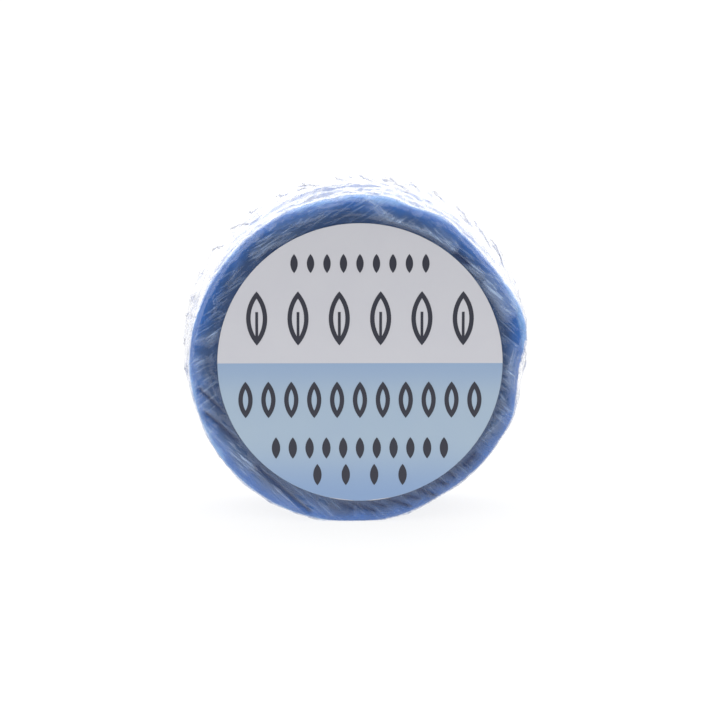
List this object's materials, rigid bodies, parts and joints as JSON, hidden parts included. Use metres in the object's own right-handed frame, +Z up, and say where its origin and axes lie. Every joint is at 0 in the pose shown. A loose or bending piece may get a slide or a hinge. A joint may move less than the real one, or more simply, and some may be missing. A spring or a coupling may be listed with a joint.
{
  "type": "wrapped shaving soap puck",
  "caption": "Round blue shaving soap puck standing on its rim, wrapped in clear pleated film, with a round two-tone label on the front and a round label on the back.",
  "frame": {"origin": "bottom centre of the packet's box, on the flat that the puck stands on", "axes": "+Z up; the puck's axis lies along Y, with the front label facing -Y and the pleated back facing +Y; +X to the right of someone who faces the front label"},
  "size_m": [0.0628, 0.021, 0.0612],
  "materials": {
    "soap": "waxy satin",
    "clear_film": "clear gloss",
    "label_adhesive": "clear",
    "label_paper": "coated satin",
    "blue_print": "printed satin",
    "dark_print": "printed satin"
  },
  "bodies": {
    "root": {"soap_puck": "soap", "film_wrap": "clear_film", "front_label_adhesive": "label_adhesive", "front_label": "label_paper", "front_label_tint": "blue_print", "front_label_marks": "dark_print", "back_label_adhesive": "label_adhesive", "back_label": "label_paper"}
  },
  "joints": []
}
